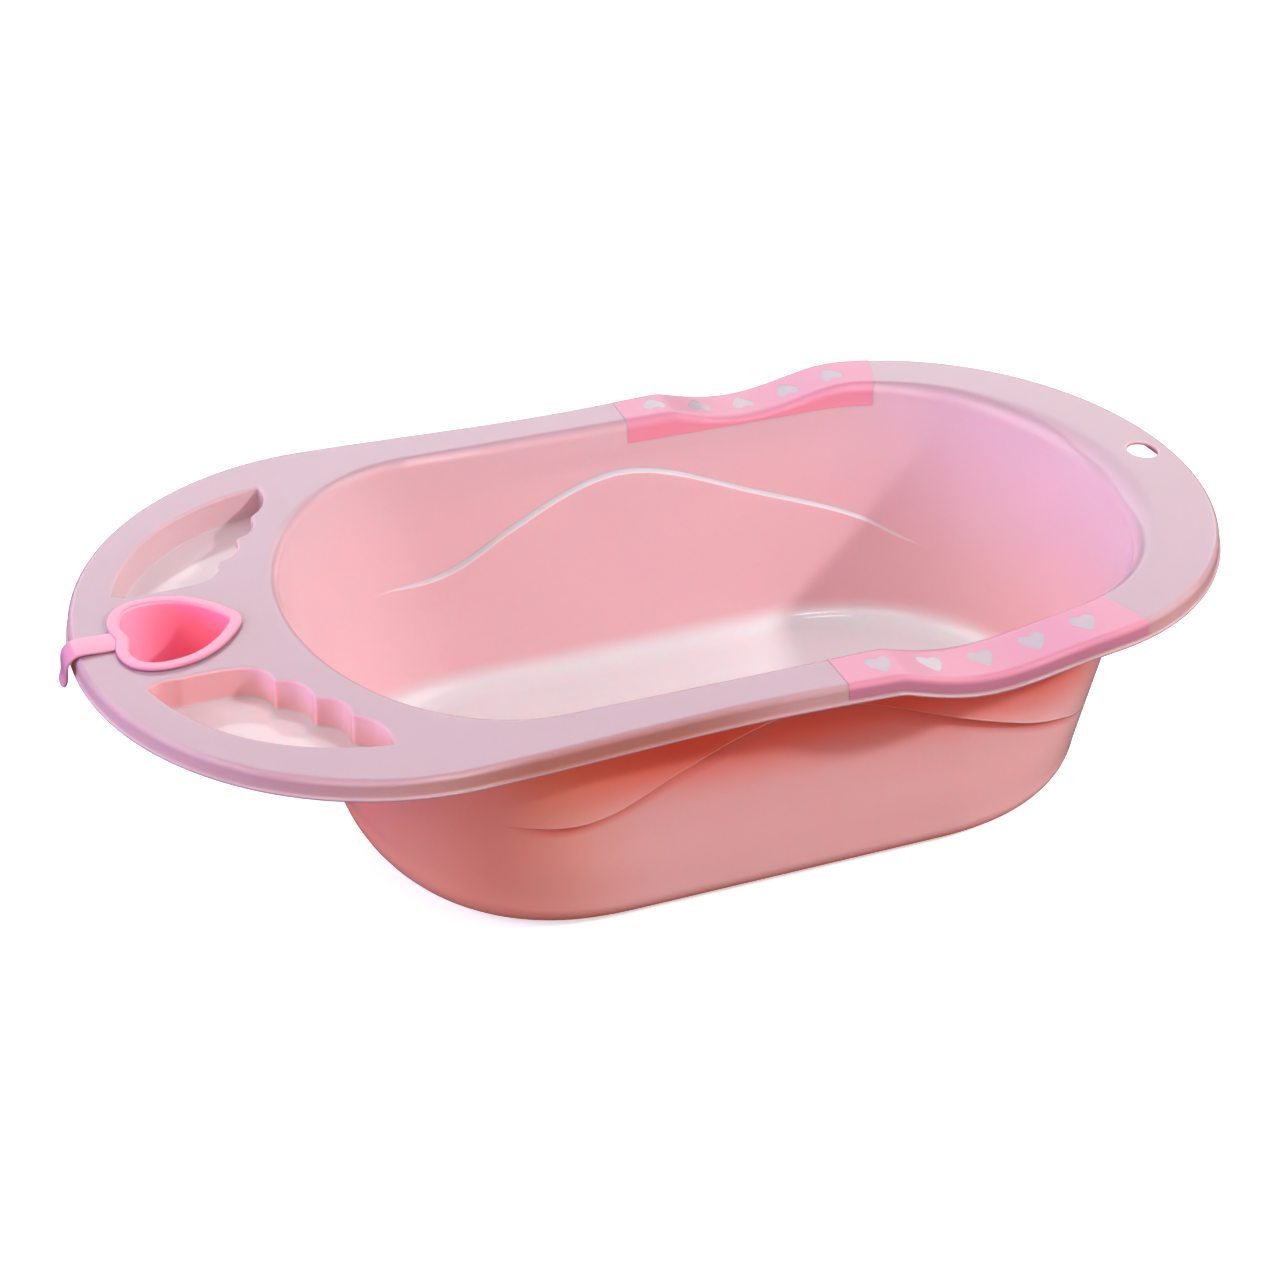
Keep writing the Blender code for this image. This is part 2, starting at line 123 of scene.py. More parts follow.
# Fineness of the meshes: stretches along half an outline, and rows of the basin's inner face
FOOT_STRETCHES, GRIP_STRETCHES, HEAD_STRETCHES = 108, 58, 58
OUTLINE_POINTS = 500
FLOOR_ROWS, BELOW_WAVE_ROWS, WAVE_ROWS, ABOVE_WAVE_ROWS, EDGE_ROWS = 13, 8, 14, 6, 13
FIRST_WAVE_ROW = FLOOR_ROWS + BELOW_WAVE_ROWS
# The wave's rows reach this many rises below and above its line
WAVE_BELOW, WAVE_ABOVE = 0.6, 1.5
TRAY_POINTS, SEAT_POINTS, CUP_POINTS, HANG_POINTS = 420, 160, 192, 72
TRAY_PITCH, TRAY_INSET, TRAY_PITCH_UNDER, TRAY_INSET_UNDER = 0.008, 0.0036, 0.012, 0.0032
# How far the deck's own points keep off the openings
CLEAR, TRAY_CLEAR_UNDER, HOLE_CLEAR, HOLE_CLEAR_UNDER = 0.0012, 0.0025, 0.0008, 0.0015
SHARP_ANGLE = math.radians(42)
MERGE = 1e-6
LONGEST_LOOP = 40


# -------- outlines in plan
def outline(foot, foot_turn, head_turn, head, half_width, grip_x, foot_power=2.0, at=None):
    """Half an outline from its foot end (at = 0) over +Y to its head end (at = 1)."""
    turn = np.linspace(0, math.pi / 2, OUTLINE_POINTS)
    foot_x = foot_turn - (foot_turn - foot) * np.cos(turn) ** (2 / foot_power)
    foot_y = half_width * np.sin(turn) ** (2 / foot_power)
    head_x = head_turn + (head - head_turn) * np.sin(turn)
    head_y = half_width * np.cos(turn)
    x = np.concatenate([foot_x, head_x])
    y = np.concatenate([foot_y, head_y])
    along = np.concatenate([[0], np.cumsum(np.hypot(np.diff(x), np.diff(y)))])
    grip_along = np.interp([GRIP_FOOT_X, grip_x], x, along)
    where = np.interp(at, [0, GRIP_FROM, GRIP_TO, 1], [0, *grip_along, along[-1]])
    return np.interp(where, along, x), np.interp(where, along, y)


def waisted(x, y):
    """An outline drawn in at the middle of the tub."""
    return x, y * (1 - RIM_WAIST * np.exp(-(((x - WAIST_X) / WAIST_SPREAD) ** 2)))


def grown(x, y, distance):
    """A half outline moved outwards along its own normals."""
    dx, dy = np.gradient(x), np.gradient(y)
    dx[0], dy[0], dx[-1], dy[-1] = 0, 1, 0, -1
    length = np.hypot(dx, dy)
    return x - distance * dy / length, y + distance * dx / length


def sharp_dip(x):
    """How far the rim lies below its full height at x: down to the hand's place and back up."""
    down = np.sin(np.clip((x - DIP_START) / (DIP_LOWEST - DIP_START), 0, 1) * math.pi / 2)
    up = (1 + np.cos(np.clip((x - DIP_LOWEST) / (DIP_END - DIP_LOWEST), 0, 1) * math.pi)) / 2
    return DIP_DEPTH * np.where(x < DIP_LOWEST, down, up)


def blurred(value_at, width, steps):
    """The mean of value_at(shift) over shifts of up to width either way."""
    return sum(value_at(shift) for shift in np.linspace(-width, width, steps)) / steps


def dip(x):
    """How far the rim lies below its full height at x, with its bends rounded."""
    x = np.asarray(x, float)
    return blurred(lambda shift: sharp_dip(x + shift), DIP_BLUR, steps=11)


def smooth_step(value):
    """0 to 1 with a soft start and end, as value goes from 0 to 1."""
    value = np.clip(value, 0, 1)
    return value * value * (3 - 2 * value)


def stations():
    """Places along half an outline, as shares, with one at each end of the grips."""
    foot = np.linspace(0, GRIP_FROM, FOOT_STRETCHES + 1)
    grips = np.linspace(GRIP_FROM, GRIP_TO, GRIP_STRETCHES + 1)
    head = np.linspace(GRIP_TO, 1, HEAD_STRETCHES + 1)
    return np.concatenate([foot, grips[1:-1], head])


AT = stations()
FOOT_SHARE = smooth_step(1 - AT / END_REACH)
HEAD_SHARE = smooth_step((AT - (1 - END_REACH)) / END_REACH)
LOW = outline(**WALL_FOOT, at=AT)
HIGH = outline(**WALL_TOP, at=AT)
DECK = outline(**DECK_INNER, at=AT)
EDGE = waisted(*outline(**RIM, at=AT))


def between(side, foot, head):
    """A measure for each station that turns from its side value to its end values."""
    return side + (foot - side) * FOOT_SHARE + (head - side) * HEAD_SHARE


def row(x, y, z):
    """Points on the +Y side, one for each station."""
    return np.column_stack([x, np.maximum(y, 0), np.broadcast_to(z, np.shape(x))])


WAVE_AT, WAVE_Z = np.array(WAVE).T
WAVE_LINE = blurred(lambda shift: np.interp(np.clip(AT + shift, 0, 1), WAVE_AT, WAVE_Z), WAVE_BLUR, steps=15)
WAVE_DEPTH = WAVE_STEP * smooth_step((AT - WAVE_START) / (WAVE_FULL_FROM - WAVE_START))
WAVE_DEPTH = WAVE_DEPTH * smooth_step((WAVE_END - AT) / (WAVE_END - WAVE_FULL_TO))
GRIP_Z = RIM_HEIGHT - GRIP_INNER_DROP


def wall(z):
    """The basin's inner wall at height z (one for each station): it steps outwards over the moulded wave."""
    share = z / WALL_TOP_Z
    x = LOW[0] + (HIGH[0] - LOW[0]) * share - FOOT_BELLY * FOOT_SHARE * 4 * share * (1 - share)
    y = LOW[1] + (HIGH[1] - LOW[1]) * share
    step = smooth_step((z - WAVE_LINE) / WAVE_RISE + 0.5) - 0.5
    fade = smooth_step((z - WAVE_FADE_FROM) / WAVE_FADE_LOW) * smooth_step((GRIP_Z - z) / WAVE_FADE_HIGH)
    return grown(x, y, WAVE_DEPTH * step * fade)


def basin_rows():
    """Rows of the basin's inner face from the floor to the deck, and the index of the grips' lower line."""
    rows = []
    radius = between(FLOOR_RADIUS_SIDE, FLOOR_RADIUS_FOOT, FLOOR_RADIUS_HEAD)
    foot_of_wall = wall(WALL + radius)
    for turn in np.radians(np.linspace(0, 90, FLOOR_ROWS)):
        x, y = grown(*foot_of_wall, -radius * (1 - np.sin(turn)))
        rows.append(row(x, y, WALL + radius * (1 - np.cos(turn))))
    first = WALL + radius
    below, above = WAVE_LINE - WAVE_RISE * WAVE_BELOW, WAVE_LINE + WAVE_RISE * WAVE_ABOVE
    top = np.full_like(AT, GRIP_Z)
    bands = ((first, below, BELOW_WAVE_ROWS), (below, above, WAVE_ROWS), (above, top, ABOVE_WAVE_ROWS))
    for start, end, count in bands:
        for share in np.arange(1, count + 1) / count:
            z = start + (end - start) * share
            rows.append(row(*wall(z), z))
    grip_line = len(rows) - 1
    sunk = dip(DECK[0])
    drop = between(EDGE_DROP_SIDE, EDGE_DROP_SIDE, EDGE_DROP_HEAD)
    drop = drop + (GRIP_INNER_DROP - EDGE_ABOVE_GRIP_LINE - drop) * sunk / DIP_DEPTH
    start_z = RIM_HEIGHT - drop
    start = wall(start_z)
    for turn in np.radians(np.linspace(0, 90, EDGE_ROWS)):
        share = 1 - np.cos(turn)
        x = start[0] + (DECK[0] - start[0]) * share
        y = start[1] + (DECK[1] - start[1]) * share
        rows.append(row(x, y, start_z + (RIM_HEIGHT - sunk - start_z) * np.sin(turn)))
    return np.array(rows), grip_line


# Section of the rim beyond the deck: (distance out from the rim's edge, depth below the deck), in millimetres
ROUND, ROUND_INSIDE, ROUND_INSIDE_DEPTH = RIM_RADIUS * 1000, 2.1, 4.6
FILLET = [(-ROUND * (1 - math.sin(t)), ROUND * (1 - math.cos(t))) for t in np.radians(np.linspace(0, 90, 10))]
SKIRT_OUT = FILLET + [(0.15, 6.5), (0.3, 8.5), (0.4, 10.0), (0.6, 11.0), (1.0, 11.6), (1.5, 11.95)]
SKIRT_OUT += [(1.85, 12.3), (2.0, 12.8), (1.8, 13.25), (1.3, 13.5)]
SKIRT_IN = [(0.2, 13.5), (-1.0, 13.35), (-1.8, 12.8), (-2.05, 11.8), (-2.15, 9.5), (-2.3, 7.0)]
for t in np.radians(np.linspace(90, 0, 7)):
    SKIRT_IN.append((-ROUND + ROUND_INSIDE * math.sin(t), ROUND_INSIDE_DEPTH - ROUND_INSIDE * math.cos(t)))
GRIP_OUT = FILLET + [(0.1, 6.0), (0.25, 8.0), (0.35, GRIP_SKIRT_DROP * 1000)]


def rim_rows(section):
    """A row along the rim for each point of a section."""
    sunk = dip(EDGE[0])
    rows = []
    for out, depth in section:
        x, y = grown(*EDGE, out / 1000)
        rows.append(row(x, y, RIM_HEIGHT - sunk - depth / 1000))
    return np.array(rows)


def normals(rows):
    """Unit normals of a grid of rows, towards the basin or up on its inner face."""
    along = np.gradient(rows, axis=1)
    along[:, 0], along[:, -1] = (0, 1, 0), (0, -1, 0)
    across = np.gradient(rows, axis=0)
    normal = np.cross(along, across)
    return normal / np.linalg.norm(normal, axis=2)[:, :, None]


# -------- closed outlines
def arc(start, end, rise, count):
    """Points of a bow from start towards end that stands rise off its chord."""
    (x0, y0), (x1, y1) = start, end
    share = np.arange(count) / count
    lift = 4 * rise * share * (1 - share)
    length = math.hypot(x1 - x0, y1 - y0)
    x = x0 + (x1 - x0) * share - (y1 - y0) / length * lift
    y = y0 + (y1 - y0) * share + (x1 - x0) / length * lift
    return list(zip(x, y))


def offset_outline(shape, distance):
    """A closed outline moved outwards along its normals."""
    points = np.array(shape)
    area = np.sum(points[:, 0] * np.roll(points[:, 1], -1) - points[:, 1] * np.roll(points[:, 0], -1))
    before = points - np.roll(points, 1, axis=0)
    after = np.roll(points, -1, axis=0) - points
    sides = []
    for edge in (before, after):
        side = np.column_stack([edge[:, 1], -edge[:, 0]]) * math.copysign(1, area)
        sides.append(side / np.linalg.norm(side, axis=1)[:, None])
    middle = sides[0] + sides[1]
    middle /= np.linalg.norm(middle, axis=1)[:, None]
    stretch = np.clip(np.sum(middle * sides[0], axis=1), 0.5, 1)
    return points + middle * (distance / stretch)[:, None]


def untangled(points):
    """A closed outline whose small loops, left by an offset in tight corners, are drawn in to one point."""
    points = points.copy()
    count = len(points)
    ahead = np.arange(2, LONGEST_LOOP)
    for i in range(count):
        start, run = points[i], points[(i + 1) % count] - points[i]
        first, last = points[(i + ahead) % count], points[(i + ahead + 1) % count]
        other = last - first
        with np.errstate(divide="ignore", invalid="ignore"):
            turned = run[0] * other[:, 1] - run[1] * other[:, 0]
            gap = first - start
            on_run = (gap[:, 0] * other[:, 1] - gap[:, 1] * other[:, 0]) / turned
            on_other = (gap[:, 0] * run[1] - gap[:, 1] * run[0]) / turned
            meets = (on_run > 0) & (on_run < 1) & (on_other > 0) & (on_other < 1)
        if meets.any():
            k = int(np.flatnonzero(meets)[-1])
            for step in range(1, ahead[k] + 1):
                points[(i + step) % count] = start + run * on_run[k]
    return points


def resampled(shape, count):
    """A closed outline with evenly spaced points."""
    loop = np.vstack([shape, shape[:1]])
    along = np.concatenate([[0], np.cumsum(np.hypot(*np.diff(loop, axis=0).T))])
    where = np.linspace(0, along[-1], count, endpoint=False)
    return np.column_stack([np.interp(where, along, loop[:, 0]), np.interp(where, along, loop[:, 1])])


def rounded(shape, count, window):
    """A closed outline resampled and with its corners rounded by a running mean over window points."""
    points = resampled(np.array(shape), count)
    weights = np.hanning(window + 2)[1:-1]
    weights /= weights.sum()
    half = window // 2
    return sum(w * np.roll(points, half - i, axis=0) for i, w in enumerate(weights))


def smooth_loop(half, passes):
    """A closed curve through half an outline and its mirror image in y."""
    half = np.array(half)
    loop = np.concatenate([half, half[-2:0:-1] * (1, -1)])
    for _ in range(passes):
        before, after, later = (np.roll(loop, -step, axis=0) for step in (-1, 1, 2))
        middle = (9 * (loop + after) - before - later) / 16
        loop = np.stack([loop, middle], axis=1).reshape(-1, 2)
    return loop


def tray_outline():
    """The mouth of the tray on the +Y side, with its three scallops."""
    shape = arc(TRAY_CORNER, TRAY_BACK, -0.003, 12) + arc(TRAY_BACK, TRAY_SHOULDER, -0.001, 12)
    shape += arc(TRAY_SHOULDER, TRAY_NOTCHES[0], -0.006, 20)
    for start, end in zip(TRAY_NOTCHES, (*TRAY_NOTCHES[1:], TRAY_TIP)):
        shape += arc(start, end, -TRAY_SCALLOP, 20)
    shape += arc(TRAY_TIP, TRAY_CORNER, -TRAY_OUTER_BULGE, 80)
    return rounded(shape, TRAY_POINTS, 7)


def heart_outline(x):
    """One of the small hearts on the +Y rim, with its middle at x."""
    along, across = smooth_loop(HEART_HALF, 3).T
    return np.column_stack([x + across * HEART_WIDTH, HEART_Y + along * HEART_LENGTH])


def inside(points, shape):
    """Which points lie inside a closed outline."""
    x, y = points[:, 0][:, None], points[:, 1][:, None]
    x0, y0 = shape.T
    x1, y1 = np.roll(shape, -1, axis=0).T
    crosses = (y0 > y) != (y1 > y)
    with np.errstate(divide="ignore", invalid="ignore"):
        at_x = x0 + (y - y0) * (x1 - x0) / (y1 - y0)
    return np.sum(crosses & (x < at_x), axis=1) % 2 == 1


# -------- meshes
class Sheet:
    """Points, faces and a colour zone for each point."""

    def __init__(self):
        self.points, self.faces, self.zones = [], [], []

    def add(self, points, zone):
        """New points, in one zone or in a list with a zone for each; gives their indices."""
        first = len(self.points)
        self.points.extend(tuple(map(float, point)) for point in points)
        self.zones.extend(zone if isinstance(zone, list) else [zone] * len(points))
        return list(range(first, len(self.points)))

    def bridge(self, low, high, closed=True):
        """Faces between two rings or strips with as many points each."""
        count = len(low)
        for i in range(count if closed else count - 1):
            j = (i + 1) % count
            self.faces.append((low[i], low[j], high[j], high[i]))

    def loops(self, rings, zones):
        """Neighbouring rings of points joined by faces; gives the rings' indices."""
        made = [self.add(ring, zone) for ring, zone in zip(rings, zones)]
        for low, high in zip(made, made[1:]):
            self.bridge(low, high)
        return made

    def fan(self, ring, centre, zone):
        """A ring closed by triangles that meet in a new point."""
        (middle,) = self.add([centre], zone)
        for i, j in zip(ring, ring[1:] + ring[:1]):
            self.faces.append((i, j, middle))

    def fill(self, outer, holes, spare, height, zone):
        """Triangles between loops of indices, over spare points (x, y) that lie at height(x, y)."""
        loops = [outer, *holes]
        used = [i for loop in loops for i in loop]
        flat = [self.points[i][:2] for i in used] + [tuple(point) for point in spare]
        edges, first = [], 0
        for loop in loops:
            count = len(loop)
            edges += [(first + i, first + (i + 1) % count) for i in range(count)]
            first += count
        made = delaunay_2d_cdt([Vector(point) for point in flat], edges, [], 0, 1e-7)
        index = {}
        for out, sources in enumerate(made[3]):
            source = min(sources) if sources else None
            if source is not None and source < len(used):
                index[out] = used[source]
            else:
                x, y = made[0][out]
                index[out] = self.add([(x, y, float(height(np.array(x), np.array(y))))], zone)[0]
        corners = np.array([[made[0][i][:] for i in face] for face in made[2]])
        middles = corners.mean(axis=1)
        keep = inside(middles, np.array([self.points[i][:2] for i in outer]))
        for hole in holes:
            keep &= ~inside(middles, np.array([self.points[i][:2] for i in hole]))
        self.faces += [tuple(index[i] for i in face) for face, kept in zip(made[2], keep) if kept]

    def object(self, name, material, thickness=None):
        """The sheet as an object; with a thickness it becomes a closed skin that grows down from it."""
        mesh = bpy.data.meshes.new(name)
        mesh.from_pydata(self.points, [], self.faces)
        work = bmesh.new()
        work.from_mesh(mesh)
        zone = work.verts.layers.float_color.new("zone")
        for vert, value in zip(work.verts, self.zones):
            vert[zone] = value
        bmesh.ops.remove_doubles(work, verts=work.verts, dist=MERGE)
        loose = [vert for vert in work.verts if not vert.link_faces]
        bmesh.ops.delete(work, geom=loose, context="VERTS")
        bmesh.ops.recalc_face_normals(work, faces=work.faces)
        if thickness:
            if sum(face.normal.z * face.calc_area() for face in work.faces) < 0:
                bmesh.ops.reverse_faces(work, faces=work.faces)
            bmesh.ops.solidify(work, geom=work.faces[:], thickness=thickness)
        work.to_mesh(mesh)
        work.free()
        mesh.shade_smooth()
        mesh.set_sharp_from_angle(angle=SHARP_ANGLE)
        mesh.materials.append(material)
        made = bpy.data.objects.new(name, mesh)
        bpy.context.scene.collection.objects.link(made)
        return made


def ring_of(half):
    """A closed ring from a row on the +Y side and its mirror image."""
    return np.concatenate([half, half[-2:0:-1] * (1, -1, 1)])


def level(shape, z):
    """An outline as points at one height."""
    return np.column_stack([shape, np.full(len(shape), z)])


def at_deck(shape, drop=0.0):
    """An outline as points that follow the deck, drop below it."""
    return np.column_stack([shape, RIM_HEIGHT - dip(shape[:, 0]) - drop])


# A zone is (deck, outside, ground, 1). The materials mix their colours by its first three shares: the deck's
# plastic is (1, 0, 0), the basin's walls (0, 0, 0), its floor (0, 0, 1) and the outer faces (0, 1, 0).
INNER, PALE, OUTER, GROUND = (0, 0, 0, 1), (1, 0, 0, 1), (0, 1, 0, 1), (0, 0, 1, 1)
# (1, 1, 0) is the rim's skirt, (0, 1, 1) a painted shadow line along the wave's crease outside and (1, 0, 1) a
# painted sheen on the wave's ledge. The tray floors take three quarters of that painted sheen and the hearts a
# fifth; the tray walls lean a little to the outer faces' colour.
SKIRT, CREASE_SHADOW, LEDGE_SHEEN = (1, 1, 0, 1), (0, 1, 1, 1), (1, 0, 1, 1)
TRAY_SIDE, TRAY_FLOOR_SHEEN, HEART_SHEEN = (0, 0.3, 0, 1), (1, 0, 0.75, 1), (1, 0, 0.2, 1)
LEDGE_SHEEN_ROWS = range(FIRST_WAVE_ROW, FIRST_WAVE_ROW + 7)
CREASE_SHADOW_ROWS = (FIRST_WAVE_ROW - 1, FIRST_WAVE_ROW, FIRST_WAVE_ROW + 1)
# Rows or rings after which one zone starts to blend into the next, and over how many
WALL_COLOUR_FROM, DECK_COLOUR_FROM, DECK_COLOUR_ROWS, SKIRT_COLOUR_ROWS, LIP_ROWS = 5, 3, 9, 10, 4
GRIP_COLOUR_ROWS = 11
TRAY_EDGE_RINGS, TRAY_WALL_RINGS, TRAY_FOOT_RINGS = 8, 3, 7
WAVE_COLOUR_REACH = 1.6


def mixed(a, b, share):
    """A zone between two others."""
    return tuple(float(u + (v - u) * share) for u, v in zip(a, b))


BASIN, GRIP_LINE = basin_rows()
BASIN_NORMALS = normals(BASIN)
BASIN_NORMALS[-1] = (0, 0, 1)
BASIN_NORMALS[0] = (0, 0, 1)


def tray_rings(shape):
    """Rings down a tray's wall: over its rounded upper edge, down and round into its floor."""
    rings = []
    for turn in np.radians(np.linspace(0, 90, TRAY_EDGE_RINGS)):
        rings.append((TRAY_EDGE * (1 - math.sin(turn)), TRAY_EDGE * (1 - math.cos(turn))))
    wall_foot = TRAY_DEPTH - TRAY_FOOT_RADIUS
    for share in (0.25, 0.5, 0.75, 1.0):
        rings.append((-TRAY_DRAFT * share, TRAY_EDGE + (wall_foot - TRAY_EDGE) * share))
    for turn in np.radians(np.linspace(0, 90, TRAY_FOOT_RINGS))[1:]:
        out = -TRAY_DRAFT - TRAY_FOOT_RADIUS * (1 - math.cos(turn))
        rings.append((out, wall_foot + TRAY_FOOT_RADIUS * math.sin(turn)))
    return [level(untangled(offset_outline(shape, out)), RIM_HEIGHT - down) for out, down in rings]


def grid_points(low, high, pitch, limit):
    """Evenly spaced points between two corners that lie inside an outline."""
    x, y = np.meshgrid(np.arange(low[0], high[0], pitch), np.arange(low[1], high[1], pitch))
    points = np.column_stack([x.ravel(), y.ravel()])
    return points[inside(points, limit)]


# How far the moulded wave is there at each point of a ring
WAVE_SHARES = smooth_step(WAVE_DEPTH / WAVE_STEP * WAVE_COLOUR_REACH)
WAVE_SHARES = np.concatenate([WAVE_SHARES, WAVE_SHARES[-2:0:-1]])


def build_basin(sheet):
    """The basin's inner face from the middle of its floor; gives the ring where it meets the deck."""
    centre = np.array((FLOOR_MIDDLE_X, 0.0, WALL))
    floor_ring = ring_of(BASIN[0])
    rings = [centre + (floor_ring - centre) * share for share in (0.12, 0.3, 0.5, 0.7, 0.85, 0.95, 0.99)]
    zones = [GROUND] * len(rings)
    # Painted sheen: the rows on the wave's ledge take a paler colour where the step is full.
    painted_ledge_sheen = [mixed(INNER, LEDGE_SHEEN, share) for share in WAVE_SHARES]
    for i, rows in enumerate(BASIN):
        rings.append(ring_of(rows))
        if i < FLOOR_ROWS:
            share = (i - WALL_COLOUR_FROM) / (FLOOR_ROWS - WALL_COLOUR_FROM)
            zones.append(mixed(GROUND, INNER, float(smooth_step(share))))
        elif i <= GRIP_LINE:
            zones.append(painted_ledge_sheen if i in LEDGE_SHEEN_ROWS else INNER)
        else:
            share = (i - GRIP_LINE - DECK_COLOUR_FROM) / DECK_COLOUR_ROWS
            zones.append(mixed(INNER, PALE, float(smooth_step(share))))
    made = sheet.loops(rings, zones)
    sheet.fan(made[0], centre, GROUND)
    return made[-1]


def build_rim(sheet):
    """The rim's rounding, skirt and lip, outside and inside; gives its first and its last ring."""
    rim_out = [ring_of(rows) for rows in rim_rows(SKIRT_OUT)]
    rim_in = [ring_of(rows) for rows in rim_rows(SKIRT_IN)]
    skirt_rows = len(rim_out) - LIP_ROWS
    skirt_zones = [mixed(PALE, SKIRT, min(1, i / SKIRT_COLOUR_ROWS)) for i in range(skirt_rows)]
    skirt_zones += [PALE] * LIP_ROWS
    rim = sheet.loops(rim_out + rim_in, skirt_zones + [OUTER] * len(rim_in))
    return rim[0], rim[-1]


def build_underside(sheet):
    """The basin's outer face and its bottom; gives the ring where it meets the underside of the deck."""
    under = BASIN - BASIN_NORMALS * WALL
    for i in range(FLOOR_ROWS, GRIP_LINE):
        z = BASIN[i, :, 2]
        lip = WAVE_LIP * np.exp(-(((z - WAVE_LINE - WAVE_LIP_ABOVE) / WAVE_LIP_SPREAD) ** 2))
        lip = lip * WAVE_DEPTH / WAVE_STEP
        under[i] = row(*grown(*wall(z), WALL + lip), z)
    under[-1] = BASIN[-1] - np.array((0, 0, WALL))
    rings = [ring_of(rows) for rows in under[::-1]]
    bottom = ring_of(under[0])
    centre = np.array((FLOOR_MIDDLE_X, 0.0, 0.0))
    rings += [centre + (bottom - centre) * share for share in (0.99, 0.95, 0.85, 0.6, 0.3, 0.1)]
    # Painted shadow: the rows at the wave's crease outside take a darker line.
    crease_shadow = [mixed(OUTER, CREASE_SHADOW, share) for share in WAVE_SHARES]
    lines = [len(BASIN) - 1 - i for i in CREASE_SHADOW_ROWS]
    made = sheet.loops(rings, [crease_shadow if i in lines else OUTER for i in range(len(rings))])
    sheet.fan(made[-1], centre, OUTER)
    return made[0]


def build_tray(sheet, shape, side_zone):
    """A tray's inner and outer skin; gives their rings at the deck's top and at its underside."""
    rings = tray_rings(shape)
    upper = TRAY_EDGE_RINGS + TRAY_WALL_RINGS
    zones = [mixed(PALE, side_zone, min(1, i / TRAY_EDGE_RINGS)) for i in range(upper)]
    # Painted light: the tray floors are painted paler, standing in for the sheen on them and lifting their
    # shade.
    zones += [mixed(side_zone, TRAY_FLOOR_SHEEN, i / (TRAY_FOOT_RINGS - 1)) for i in range(TRAY_FOOT_RINGS)]
    inner = sheet.loops(rings, zones)
    low, high = rings[-1].min(axis=0), rings[-1].max(axis=0)
    spare = grid_points(low, high, TRAY_PITCH, offset_outline(shape, -TRAY_INSET))
    sheet.fill(inner[-1], [], spare, lambda x, y: RIM_HEIGHT - TRAY_DEPTH, TRAY_FLOOR_SHEEN)
    drops = [(0.0012, 0.0), (0.0004, 0.0004), (0, 0.0012), (0, TRAY_DEPTH - 0.001)]
    drops += [(-0.0005, TRAY_DEPTH - 0.0003), (-0.0012, TRAY_DEPTH)]
    rings = []
    for out, down in drops:
        rings.append(level(untangled(offset_outline(shape, WALL + out)), RIM_HEIGHT - WALL - down))
    outer = sheet.loops(rings, [OUTER] * len(rings))
    low, high = rings[-1].min(axis=0), rings[-1].max(axis=0)
    spare = grid_points(low, high, TRAY_PITCH_UNDER, offset_outline(shape, WALL - TRAY_INSET_UNDER))
    sheet.fill(outer[-1], [], spare, lambda x, y: RIM_HEIGHT - WALL - TRAY_DEPTH, OUTER)
    return inner[0], outer[0]


# Sections of the cup's collared seat and of the hanging hole: (distance outwards, depth below the deck)
COLLAR = [(0.0010, 0.0), (0.0005, 0.00013), (0.00013, 0.0005), (0, 0.0010), (0, COLLAR_DEPTH - 0.0008)]
COLLAR += [(0.0003, COLLAR_DEPTH - 0.0002), (0.0010, COLLAR_DEPTH), (0.0017, COLLAR_DEPTH - 0.0002)]
COLLAR += [(0.0020, COLLAR_DEPTH - 0.0008), (0.0020, WALL + 0.0012), (0.0024, WALL + 0.0004), (0.0032, WALL)]
HANGING = [(0.0014, 0.0), (0.0008, 0.0001), (0.0004, 0.0004), (0.0001, 0.0008), (0, 0.0013)]
HANGING += [(0, WALL - 0.0006), (0.0002, WALL - 0.0002), (0.0007, WALL)]


def clear_of(points, shapes):
    """The points that lie in none of the outlines."""
    for shape in shapes:
        points = points[~inside(points, shape)]
    return points


